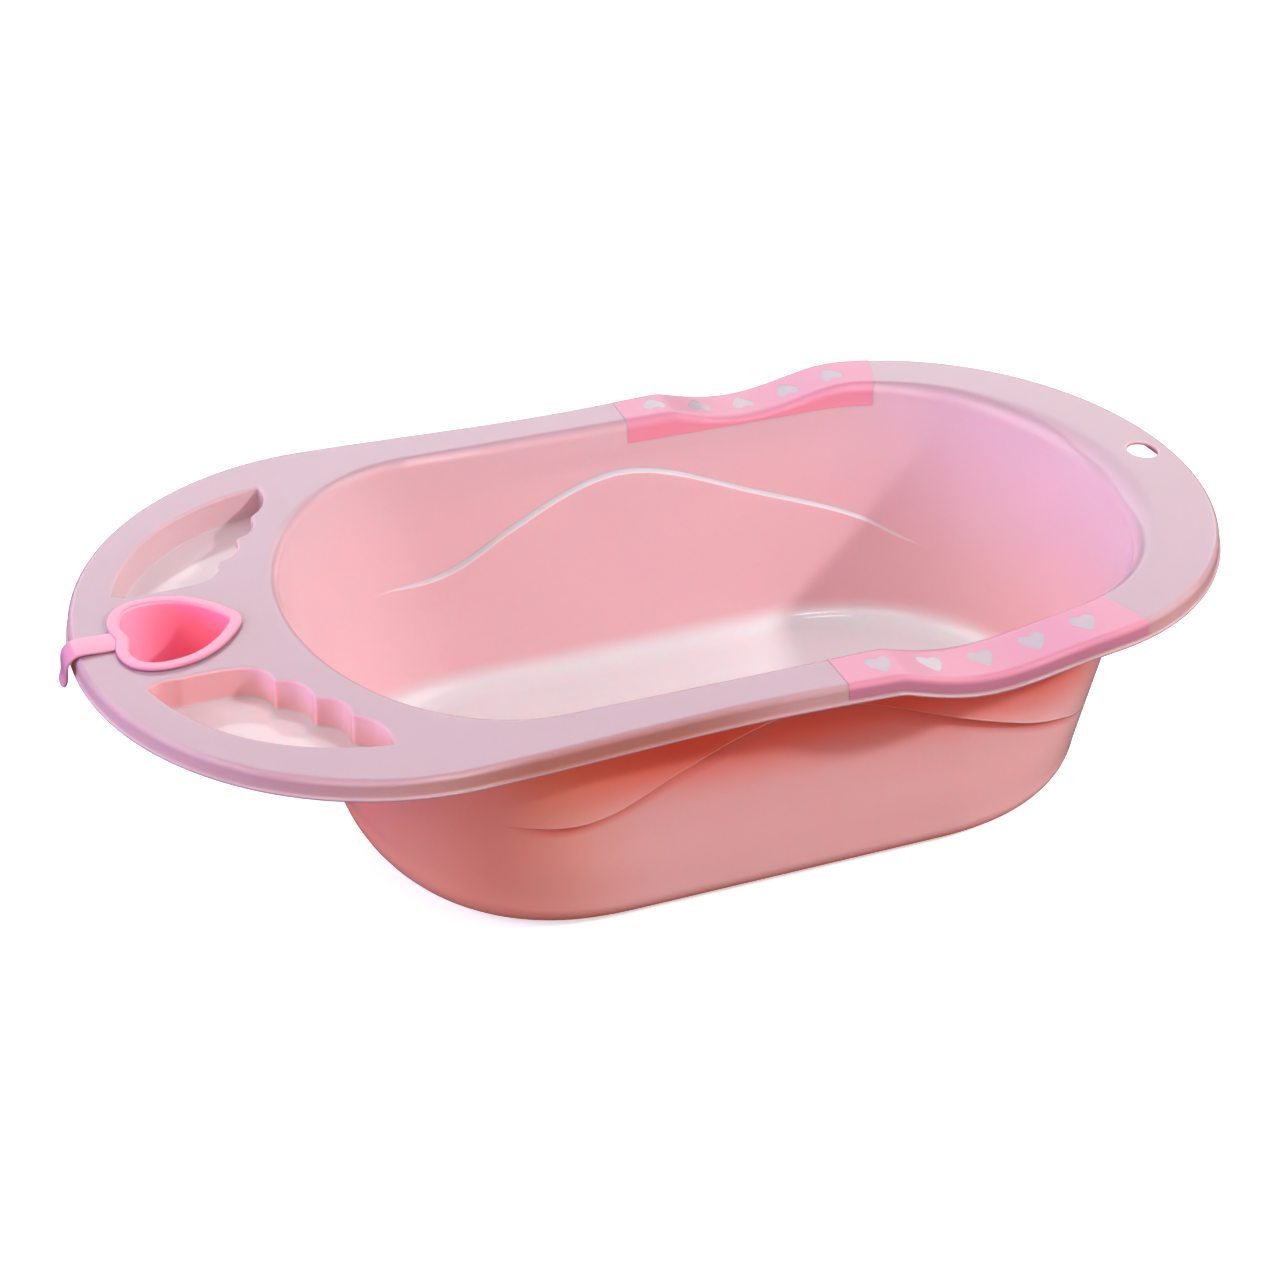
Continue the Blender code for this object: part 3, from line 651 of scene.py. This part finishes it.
def build_tub(material):
    """The whole tub: basin, rim, underside, trays, cup's seat and hanging hole, and the deck round them."""
    sheet = Sheet()
    deck_inner = build_basin(sheet)
    deck_outer, under_outer = build_rim(sheet)
    under_inner = build_underside(sheet)

    # Openings in the deck, with the outlines that the deck's own points keep out of
    tray = tray_outline()
    trays = [tray, tray * (1, -1)]
    seat_shape = offset_outline(smooth_loop(CUP_MOUTH, 3), CUP_WALL + CUP_HOLE_CLEARANCE)
    seat = resampled(seat_shape, SEAT_POINTS)
    turn = np.linspace(0, 2 * math.pi, HANG_POINTS, endpoint=False)
    hang = np.column_stack([HANG_X + np.cos(turn) * HANG_LENGTH / 2, np.sin(turn) * HANG_WIDTH / 2])
    top_holes, under_holes, keep_off, keep_off_under = [], [], [], []
    # Painted light: the walls of the tray on the +Y side are painted paler than those of the other tray.
    for shape, side_zone in zip(trays, (mixed(TRAY_SIDE, TRAY_FLOOR_SHEEN, 0.45), TRAY_SIDE)):
        top, under = build_tray(sheet, shape, side_zone)
        top_holes.append(top)
        under_holes.append(under)
        keep_off.append(offset_outline(shape, TRAY_EDGE + CLEAR))
        keep_off_under.append(offset_outline(shape, WALL + TRAY_CLEAR_UNDER))
    for shape, section in ((seat, COLLAR), (hang, HANGING)):
        rings = [level(offset_outline(shape, out), RIM_HEIGHT - down) for out, down in section]
        loops = sheet.loops(rings, [mixed(PALE, INNER, 0.4)] * len(rings))
        top_holes.append(loops[0])
        under_holes.append(loops[-1])
        keep_off.append(offset_outline(shape, section[0][0] + HOLE_CLEAR))
        keep_off_under.append(offset_outline(shape, section[-1][0] + HOLE_CLEAR_UNDER))

    # The deck and its underside, over points on lines between the basin and the rim
    inner, outer = ring_of(BASIN[-1])[:, :2], ring_of(rim_rows(SKIRT_OUT)[0])[:, :2]
    shares = (0.02, 0.1, 0.22, 0.36, 0.5, 0.64, 0.78, 0.9, 0.98)
    spare = np.vstack([inner + (outer - inner) * share for share in shares])
    supports = [offset_outline(shape, TRAY_EDGE + CLEAR) for shape in trays]
    supports.append(offset_outline(seat, SEAT_EDGE + CLEAR))
    supports.append(offset_outline(hang, HANG_EDGE + HOLE_CLEAR))
    free = clear_of(spare, [offset_outline(shape, HOLE_CLEAR) for shape in keep_off])
    free = np.vstack([free, *supports])
    sheet.fill(deck_outer, [deck_inner, *top_holes], free, lambda x, y: RIM_HEIGHT - dip(x), PALE)
    free = clear_of(spare[::2], keep_off_under)
    holes = [under_inner, *under_holes]
    sheet.fill(under_outer, holes, free, lambda x, y: RIM_HEIGHT - WALL - dip(x), OUTER)
    return sheet.object("tub", material)


def build_grip(side, name, material):
    """A soft sleeve over the rim with heart-shaped windows."""
    first, last = FOOT_STRETCHES, FOOT_STRETCHES + GRIP_STRETCHES
    cut = slice(first, last + 1)
    inner = (BASIN + BASIN_NORMALS * GRIP_LIFT)[GRIP_LINE:, cut]
    rim = rim_rows(GRIP_OUT)
    rim_normals = normals(rim)
    rim_normals[0] = (0, 0, 1)
    outer = (rim + rim_normals * GRIP_LIFT)[:, cut]
    sheet = Sheet()
    flip = np.array((1, side, 1))

    def strips(rows, zones):
        """Neighbouring rows joined by faces, on this grip's side."""
        made = [sheet.add(points * flip, zone) for points, zone in zip(rows, zones)]
        for low, high in zip(made, made[1:]):
            sheet.bridge(low, high, closed=False)
        return made

    in_zones = [mixed(INNER, PALE, float(smooth_step(i / GRIP_COLOUR_ROWS))) for i in range(len(inner))]
    out_zones = [mixed(PALE, OUTER, min(1, i / SKIRT_COLOUR_ROWS)) for i in range(len(outer))]
    deck_in = strips(inner, in_zones)[-1]
    deck_out = strips(outer, out_zones)[0]
    a = np.array([sheet.points[i] for i in deck_in])[:, :2]
    b = np.array([sheet.points[i] for i in deck_out])[:, :2]
    shares = (0.03, 0.12, 0.25, 0.38, 0.5, 0.62, 0.75, 0.88, 0.97)
    ends = []
    for end in (0, -1):
        points = [a[end] + (b[end] - a[end]) * share for share in shares]
        ends.append(sheet.add([(*p, RIM_HEIGHT - float(dip(p[0])) + GRIP_LIFT) for p in points], PALE))
    border = deck_out + ends[1][::-1] + deck_in[::-1] + ends[0]
    holes, spare = [], np.vstack([(a + (b - a) * share)[1:-1] for share in shares])
    for i in range(HEARTS):
        heart = heart_outline(FIRST_HEART_X + HEART_PITCH * i) * (1, side)
        holes.append(sheet.add(at_deck(heart, -GRIP_LIFT), PALE))
        spare = spare[~inside(spare, offset_outline(heart, 0.0006))]
    sheet.fill(border, holes, spare, lambda x, y: RIM_HEIGHT - dip(x) + GRIP_LIFT, PALE)
    return sheet.object(name, material, thickness=GRIP_THICK)


def build_hearts(side, name, material):
    """The tub's hearts that stand in the windows of a grip."""
    sheet = Sheet()
    for i in range(HEARTS):
        heart = heart_outline(FIRST_HEART_X + HEART_PITCH * i) * (1, side)
        centre = heart.mean(axis=0)
        rings = [at_deck(heart, HEART_SUNK)]
        rings += [at_deck(centre + (heart - centre) * share, -GRIP_LIFT) for share in (1.0, 0.8, 0.55, 0.3)]
        # Painted sheen: the hearts are painted a little paler than the deck, with a fifth of the ledge's
        # painted sheen.
        loops = sheet.loops(rings, [HEART_SHEEN] * len(rings))
        x, y = centre
        deck_z = RIM_HEIGHT - float(dip(x))
        sheet.fan(loops[-1], (x, y, deck_z + GRIP_LIFT), HEART_SHEEN)
        sheet.fan(loops[0], (x, y, deck_z - HEART_SUNK), PALE)
    return sheet.object(name, material)


def build_cup(material):
    """The rinsing cup: a tapered heart with a rounded flange."""
    sheet = Sheet()
    mouth = resampled(smooth_loop(CUP_MOUTH, 3), CUP_POINTS)
    centre = np.array((CUP_CENTRE_X, 0.0))
    thick = CUP_FLANGE_THICK

    def ring(out, depth):
        """The mouth moved outwards by out, depth below the flange's top, drawn in by the taper."""
        scale = 1 - (1 - CUP_TAPER) * max(0.0, depth) / CUP_DEPTH
        shape = centre + (offset_outline(mouth, out) - centre) * scale
        return level(shape, FLANGE_TOP - depth)

    # From the foot up the outside, round the flange and down the inside to the cup's floor
    section = []
    foot = CUP_DEPTH + CUP_WALL
    for turn in np.radians(np.linspace(0, 90, 7)):
        rise = CUP_FOOT_RADIUS * (1 - math.cos(turn))
        section.append((CUP_WALL - CUP_FOOT_RADIUS * (1 - math.sin(turn)), foot - rise))
    section += [(CUP_WALL, foot - share * (foot - thick - 0.001)) for share in (0.2, 0.4, 0.6, 0.8)]
    section += [(CUP_WALL, thick + 0.0008), (CUP_WALL + 0.0003, thick + 0.0002), (CUP_WALL + 0.0010, thick)]
    edge = CUP_FLANGE_WIDTH - thick / 2
    section += [(CUP_WALL + 0.003, thick), (edge - 0.0008, thick)]
    for turn in np.radians(np.linspace(-90, 90, 11)):
        section.append((edge + math.cos(turn) * thick / 2, thick / 2 - math.sin(turn) * thick / 2))
    section += [(edge - 0.0012, -0.00005), (0.0042, -0.00008), (0.0027, 0.0)]
    lip = CUP_MOUTH_RADIUS
    for turn in np.radians(np.linspace(90, 0, 8)):
        section.append((lip - lip * math.cos(turn), lip - lip * math.sin(turn)))
    straight = CUP_DEPTH - lip - CUP_FLOOR_RADIUS
    section += [(0.0, lip + share * straight) for share in (0.1, 0.25, 0.5, 0.75, 1.0)]
    for turn in np.radians(np.linspace(0, 90, 7))[1:]:
        rise = CUP_FLOOR_RADIUS * (1 - math.sin(turn))
        section.append((-CUP_FLOOR_RADIUS * (1 - math.cos(turn)), CUP_DEPTH - rise))
    rings = [ring(out, depth) for out, depth in section]
    zones = []
    for out, depth in section:
        zones.append(PALE if depth < thick * 0.9 and out > 0.0005 else INNER)
    loops = sheet.loops(rings, zones)
    sheet.fan(loops[0], (CUP_CENTRE_X, 0, FLANGE_TOP - foot), INNER)
    sheet.fan(loops[-1], (CUP_CENTRE_X, 0, FLANGE_TOP - CUP_DEPTH), INNER)
    return sheet.object("cup", material)


def build_strap(material):
    """The cup's strap: a flat band over the rim with a hook that turns outwards."""
    lip = RIM["foot"] - 0.002
    # Its middle line: (distance beyond the rim's lip, depth below the flange's top)
    path = [(-0.036, 0.0021), (-0.028, 0.0021), (-0.020, 0.0019), (-0.013, 0.0014), (-0.0075, 0.0012)]
    path += [(-0.0028, 0.0020), (0.0010, 0.0043), (0.0034, 0.0080), (0.0043, 0.0122), (0.0046, 0.0165)]
    path += [(0.0052, 0.0205), (0.0066, 0.0238), (0.0080, 0.0255)]
    path = np.array([(lip - out, FLANGE_TOP - drop) for out, drop in path])
    for _ in range(2):
        inner = path[:-1] * 0.75 + path[1:] * 0.25
        outer = path[:-1] * 0.25 + path[1:] * 0.75
        path = np.vstack([path[:1], np.stack([inner, outer], axis=1).reshape(-1, 2)[1:-1], path[-1:]])
    along = np.gradient(path, axis=0)
    along /= np.linalg.norm(along, axis=1)[:, None]
    across = np.column_stack([-along[:, 1], along[:, 0]])
    travelled = np.concatenate([[0], np.cumsum(np.linalg.norm(np.diff(path, axis=0), axis=1))])
    sheet = Sheet()
    rings = []
    thick = STRAP_THICK / 2
    for (x, z), (nx, nz), to_end in zip(path, across, travelled[-1] - travelled):
        corner = max(0.0, 1 - to_end / STRAP_CORNER)
        half = STRAP_WIDTH / 2 - STRAP_CORNER * (1 - math.sqrt(max(0.0, 1 - corner ** 2)))
        half -= STRAP_TAPER * max(0.0, 1 - to_end / STRAP_TAPER_LENGTH)
        section = []
        for corner_y, corner_n, start in ((1, 1, 0), (-1, 1, 90), (-1, -1, 180), (1, -1, 270)):
            for turn in np.radians(start + np.linspace(0, 90, 5)):
                y = corner_y * (half - STRAP_EDGE) + math.cos(turn) * STRAP_EDGE
                n = corner_n * (thick - STRAP_EDGE) + math.sin(turn) * STRAP_EDGE
                section.append((x + nx * n, y, z + nz * n))
        rings.append(np.array(section))
    loops = sheet.loops(rings, [PALE] * len(rings))
    for loop in (loops[0], loops[-1]):
        centre = np.mean([sheet.points[i] for i in loop], axis=0)
        sheet.fan(loop, centre, PALE)
    return sheet.object("cup_strap", material)


# -------- materials
class Nodes:
    """Short calls to make and link shader nodes."""

    def __init__(self, name):
        self.material = bpy.data.materials.new(name)
        self.material.use_nodes = True
        self.tree = self.material.node_tree
        self.shader = self.tree.nodes["Principled BSDF"]

    def node(self, kind, **settings):
        """A new node with some of its settings."""
        made = self.tree.nodes.new(kind)
        for key, value in settings.items():
            setattr(made, key, value)
        return made

    def put(self, socket, value):
        """Links or sets a socket."""
        if isinstance(value, bpy.types.NodeSocket):
            self.tree.links.new(value, socket)
        else:
            socket.default_value = value

    def math(self, operation, *values):
        """The result of a sum on values or sockets."""
        made = self.node("ShaderNodeMath", operation=operation)
        for socket, value in zip(made.inputs, values):
            self.put(socket, value)
        return made.outputs[0]

    def ramp(self, value, low, high):
        """0 at low, 1 at high, smooth between."""
        made = self.node("ShaderNodeMapRange", interpolation_type="SMOOTHSTEP")
        for socket, number in zip(made.inputs, (value, low, high, 0.0, 1.0)):
            self.put(socket, number)
        return made.outputs[0]

    def mix(self, share, a, b, blend="MIX"):
        """Colour a at share 0, colour b at share 1."""
        made = self.node("ShaderNodeMix", data_type="RGBA", blend_type=blend)
        self.put(made.inputs[0], share)
        for socket, value in zip((made.inputs[6], made.inputs[7]), (a, b)):
            self.put(socket, value if isinstance(value, bpy.types.NodeSocket) else (*value, 1))
        return made.outputs[2]

    def noise(self, scale, detail=2.0, rough=0.5):
        """Noise between 0 and 1 in the object's own space."""
        made = self.node("ShaderNodeTexNoise")
        made.inputs["Scale"].default_value = scale
        made.inputs["Detail"].default_value = detail
        made.inputs["Roughness"].default_value = rough
        coordinates = self.node("ShaderNodeTexCoord")
        self.put(made.inputs["Vector"], coordinates.outputs["Object"])
        return made.outputs["Fac"]

    def position(self):
        """x, y and z in metres."""
        coordinates = self.node("ShaderNodeTexCoord")
        split = self.node("ShaderNodeSeparateXYZ")
        self.put(split.inputs[0], coordinates.outputs["Object"])
        return split.outputs

    def zone(self):
        """The three shares of a point's zone: deck, outside, ground."""
        attribute = self.node("ShaderNodeAttribute", attribute_name="zone")
        split = self.node("ShaderNodeSeparateColor")
        self.put(split.inputs[0], attribute.outputs["Color"])
        return split.outputs

    def translucent(self, weight, radius=(1.0, 0.09, 0.05), scale=0.008):
        """Light that travels a little way through the plastic, red furthest."""
        self.shader.inputs["Subsurface Weight"].default_value = weight
        self.shader.inputs["Subsurface Radius"].default_value = radius
        self.shader.inputs["Subsurface Scale"].default_value = scale

    def moulded(self, colour, roughness, grain, bump, variation=0.03):
        """Finishes a moulded plastic: a slight unevenness of colour and gloss and a fine moulded grain."""
        flow = self.noise(9.0, 3.0)
        share = self.math("MULTIPLY_ADD", flow, variation * 2, 1 - variation)
        grey = self.node("ShaderNodeCombineColor")
        for socket in grey.inputs[:3]:
            self.put(socket, share)
        self.put(self.shader.inputs["Base Color"], self.mix(1.0, colour, grey.outputs[0], "MULTIPLY"))
        patch = self.noise(24.0, 2.0)
        uneven = self.math("MULTIPLY_ADD", patch, roughness * 0.3, roughness * 0.85)
        self.put(self.shader.inputs["Roughness"], uneven)
        relief = self.node("ShaderNodeBump")
        relief.inputs["Strength"].default_value = bump
        relief.inputs["Distance"].default_value = GRAIN_DEPTH
        self.put(relief.inputs["Height"], self.noise(grain, 2.0, 0.6))
        self.put(self.shader.inputs["Normal"], relief.outputs["Normal"])


def tub_material():
    """Pale deck and pink basin with a paler floor; painted light and shade: the floor paler towards the head
    end, a painted sheen on the ledge and the tray floors, painted shade deepening the outside under the rim and
    at the foot end, a painted shadow line along the wave outside, and painted reflections on the skirt and
    along the bottom.
    """
    nodes = Nodes("tub_plastic")
    deck, outside, ground = nodes.zone()[:3]
    x, _, z = nodes.position()
    inner = (0.765, 0.475, 0.51)
    pale = (0.435, 0.275, 0.325)
    # Painted light: the floor turns paler towards the head end, where the key light's shadow falls on it.
    floor_pink_painted_light = nodes.mix(nodes.ramp(x, 0.06, 0.24), (0.75, 0.69, 0.71), (0.94, 0.83, 0.85))
    # Painted sheen: the wave's ledge and the tray floors are painted pale where light would catch them.
    painted_ledge_sheen = (0.75, 0.62, 0.645)
    skirt = (0.67, 0.38, 0.39)
    # Painted shadow: a darker line along the wave's crease outside.
    crease_shadow = (0.72, 0.20, 0.16)
    salmon = (1.0, 0.53, 0.545)
    # Painted shade: the outside turns deeper orange-red under the rim's overhang, fading out towards the head
    # end.
    under_rim_shade = (0.80, 0.165, 0.10)
    # Painted shade: the first two colours deepen the shaded foot end outside to orange-red; the third is a
    # painted warm reflection of the floor along the bottom edge.
    foot_side_shade, foot_end_shade, bottom = (1.0, 0.365, 0.24), (0.92, 0.25, 0.22), (0.92, 0.28, 0.19)
    # Painted reflection: a dark reflection on the skirt about the tub's waist.
    skirt_dark_reflection = (0.50, 0.20, 0.17)
    under_rim_shade_share = nodes.math("MULTIPLY", nodes.ramp(z, 0.088, 0.15), nodes.ramp(x, 0.34, 0.22))
    outer = nodes.mix(under_rim_shade_share, salmon, under_rim_shade)
    outer = nodes.mix(nodes.ramp(x, -0.05, -0.20), outer, foot_side_shade)
    outer = nodes.mix(nodes.ramp(x, -0.20, -0.30), outer, foot_end_shade)
    # Painted reflection: a warm bounce from the floor along the bottom edge outside.
    outer = nodes.mix(nodes.ramp(z, 0.016, 0.004), outer, bottom)
    colour = nodes.mix(outside, nodes.mix(ground, inner, floor_pink_painted_light), nodes.mix(ground, outer, crease_shadow))
    skirt_reflection_share = nodes.math("MULTIPLY", nodes.ramp(x, -0.26, -0.16), nodes.ramp(x, 0.03, -0.08))
    skirt = nodes.mix(skirt_reflection_share, skirt, skirt_dark_reflection)
    on_deck = nodes.mix(outside, nodes.mix(ground, pale, painted_ledge_sheen), skirt)
    colour = nodes.mix(deck, colour, on_deck)
    nodes.moulded(colour, 0.10, 900.0, 0.04)
    nodes.translucent(1.0, (1.0, 0.45, 0.38), 0.006)
    return nodes


def grip_material():
    """Soft pink rubber, a little redder on its inner side."""
    nodes = Nodes("grip_rubber")
    deck, outside, _ = nodes.zone()[:3]
    colour = nodes.mix(deck, (0.82, 0.245, 0.325), (0.60, 0.205, 0.305))
    colour = nodes.mix(outside, colour, (0.62, 0.215, 0.32))
    nodes.moulded(colour, 0.3, 1600.0, 0.12)
    nodes.translucent(0.1)
    return nodes


def cup_material():
    """Strong pink, with painted light and shade in the cup's hollow: paler on the foot side where light falls,
    deeper red towards the basin where it lies in shade.
    """
    nodes = Nodes("cup_plastic")
    deck, _, _ = nodes.zone()[:3]
    x, _, _ = nodes.position()
    # Painted light and shade: the hollow is paler on its foot side and deeper red on its basin side.
    hollow_lit_and_shaded = nodes.mix(nodes.ramp(x, -0.368, -0.325), (0.98, 0.38, 0.55), (1.0, 0.20, 0.30))
    colour = nodes.mix(deck, hollow_lit_and_shaded, (0.68, 0.24, 0.35))
    nodes.moulded(colour, 0.14, 1100.0, 0.05)
    nodes.translucent(0.15)
    return nodes


tub_nodes, grip_nodes, cup_nodes = tub_material(), grip_material(), cup_material()
tub = build_tub(tub_nodes.material)
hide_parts("tub_shell")
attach(tub, "tub")
for side, word in ((1, "left"), (-1, "right")):
    grip = build_grip(side, f"grip_sleeve_{word}", grip_nodes.material)
    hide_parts(f"grip_{word}")
    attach(grip, "tub")
    hearts = build_hearts(side, f"hearts_{word}", tub_nodes.material)
    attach(hearts, "tub")
cup = build_cup(cup_nodes.material)
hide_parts("heart_cup")
strap = build_strap(cup_nodes.material)
for piece in (cup, strap):
    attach(piece, "cup")


# -------- floor, light and camera
FLOOR_REACH, FLOOR_GAP = 40.0, 0.0005
MIDDLE = (0, 0, 0.1)
KEY_SIZE, VEIL_HEIGHT, VEIL_ELEVATION, VEIL_DISTANCE = 0.34, 3.6, 36, 5.0
# The place on the floor's rounding that mirrors the tube lamps
GLINT = (0.2, 0.15, 0.009)
AZIMUTH, ELEVATION, DISTANCE, LENS = -20.96, 31.68, 1.736, 69.78
# The camera looks this far to the left of the rim's middle and below it
AIM_LEFT, AIM_DOWN = 0.01308, 0.06948


def build_floor():
    """A pale floor that doesn't light or mirror in the tub."""
    mesh = bpy.data.meshes.new("floor")
    corners = [(x * FLOOR_REACH, y * FLOOR_REACH, 0) for x, y in ((-1, -1), (1, -1), (1, 1), (-1, 1))]
    mesh.from_pydata(corners, [], [(0, 1, 2, 3)])
    floor = bpy.data.objects.new("floor", mesh)
    bpy.context.scene.collection.objects.link(floor)
    floor.location.z = cad_low[2] - FLOOR_GAP
    nodes = Nodes("studio_floor")
    nodes.shader.inputs["Base Color"].default_value = (0.93, 0.93, 0.93, 1)
    nodes.shader.inputs["Roughness"].default_value = 0.8
    nodes.shader.inputs["Emission Color"].default_value = (1, 1, 1, 1)
    nodes.shader.inputs["Emission Strength"].default_value = 0.5
    mesh.materials.append(nodes.material)
    floor.visible_diffuse = floor.visible_glossy = False


def build_world():
    """A pale studio above the horizon and a warm dark one below it."""
    world = bpy.data.worlds.new("studio")
    bpy.context.scene.world = world
    world.use_nodes = True
    sky = world.node_tree
    coordinates, split = sky.nodes.new("ShaderNodeTexCoord"), sky.nodes.new("ShaderNodeSeparateXYZ")
    horizon, tone = sky.nodes.new("ShaderNodeMapRange"), sky.nodes.new("ShaderNodeMix")
    horizon.interpolation_type = "SMOOTHSTEP"
    horizon.inputs["From Min"].default_value = -0.2
    horizon.inputs["From Max"].default_value = 0.25
    tone.data_type = "RGBA"
    tone.inputs[6].default_value = (0.17, 0.11, 0.095, 1)
    tone.inputs[7].default_value = (0.76, 0.76, 0.77, 1)
    sky.links.new(coordinates.outputs["Generated"], split.inputs[0])
    sky.links.new(split.outputs[2], horizon.inputs["Value"])
    sky.links.new(horizon.outputs[0], tone.inputs[0])
    sky.links.new(tone.outputs[2], sky.nodes["Background"].inputs["Color"])


def direction(azimuth, elevation):
    """A unit vector from two angles in degrees; azimuth turns right from the near side (-Y)."""
    a, e = math.radians(azimuth), math.radians(elevation)
    return Vector((math.sin(a) * math.cos(e), -math.cos(a) * math.cos(e), math.sin(e)))


def towards(azimuth, elevation, distance, start=MIDDLE):
    """A place seen from start."""
    return Vector(start) + direction(azimuth, elevation) * distance


def area_light(name, location, target, width, height, power):
    """A rectangular lamp that faces its target."""
    data = bpy.data.lights.new(name, "AREA")
    data.shape = "RECTANGLE"
    data.size, data.size_y = width, height
    data.energy = power
    light = bpy.data.objects.new(name, data)
    bpy.context.scene.collection.objects.link(light)
    light.location = location
    light.rotation_euler = (Vector(target) - Vector(location)).to_track_quat("-Z", "Y").to_euler()
    return light


def build_lights():
    """A small key light, pale panels all round, two lights from the foot end and three tube lamps."""
    key = area_light("key", towards(50, 35.5, 6.0), MIDDLE, KEY_SIZE, KEY_SIZE, 210)
    key.visible_glossy = False
    # The panels show only as a sheen on level faces and rounded edges
    for azimuth, width, power in ((160, 7.5, 172), (70, 4.5, 105), (-20, 5.5, 100), (-110, 4.5, 105)):
        place = towards(azimuth, VEIL_ELEVATION, VEIL_DISTANCE)
        veil = area_light("veil", place, (0, 0, 0.15), width, VEIL_HEIGHT, power)
        veil.visible_diffuse = False
    side = area_light("side", towards(-94, 10, 2.6), (0.1, 0, 0.15), 0.9, 0.5, 46)
    side.data.color = (0.24, 0.34, 1.0)
    fill = area_light("fill", towards(-95, 30, 3.5), (0.1, 0, 0.1), 1.8, 1.2, 44)
    fill.data.color = (1.0, 0.97, 0.96)
    side.visible_glossy = fill.visible_glossy = False
    # The tube lamps are mirrored where the floor rounds up into the far wall and along the rounded edges
    for elevation in (24, 44, 64):
        lamp = area_light("lamp", towards(2, elevation, 4.0, GLINT), GLINT, 1.3, 0.35, 14)
        lamp.visible_diffuse = False


def build_camera():
    """The photo's viewing angle."""
    back = direction(AZIMUTH, ELEVATION)
    right = (-back).cross(Vector((0, 0, 1))).normalized()
    up = right.cross(-back)
    data = bpy.data.cameras.new("camera")
    data.lens = LENS
    data.sensor_width = 36.0
    data.clip_start, data.clip_end = 0.05, 100
    camera = bpy.data.objects.new("camera", data)
    bpy.context.scene.collection.objects.link(camera)
    camera.location = back * DISTANCE - right * AIM_LEFT - up * AIM_DOWN + Vector((0, 0, RIM_HEIGHT))
    camera.rotation_euler = Matrix((right, up, back)).transposed().to_euler()
    return camera


build_floor()
build_world()
build_lights()
bpy.context.scene.camera = build_camera()
bpy.context.scene.view_settings.view_transform = "Standard"
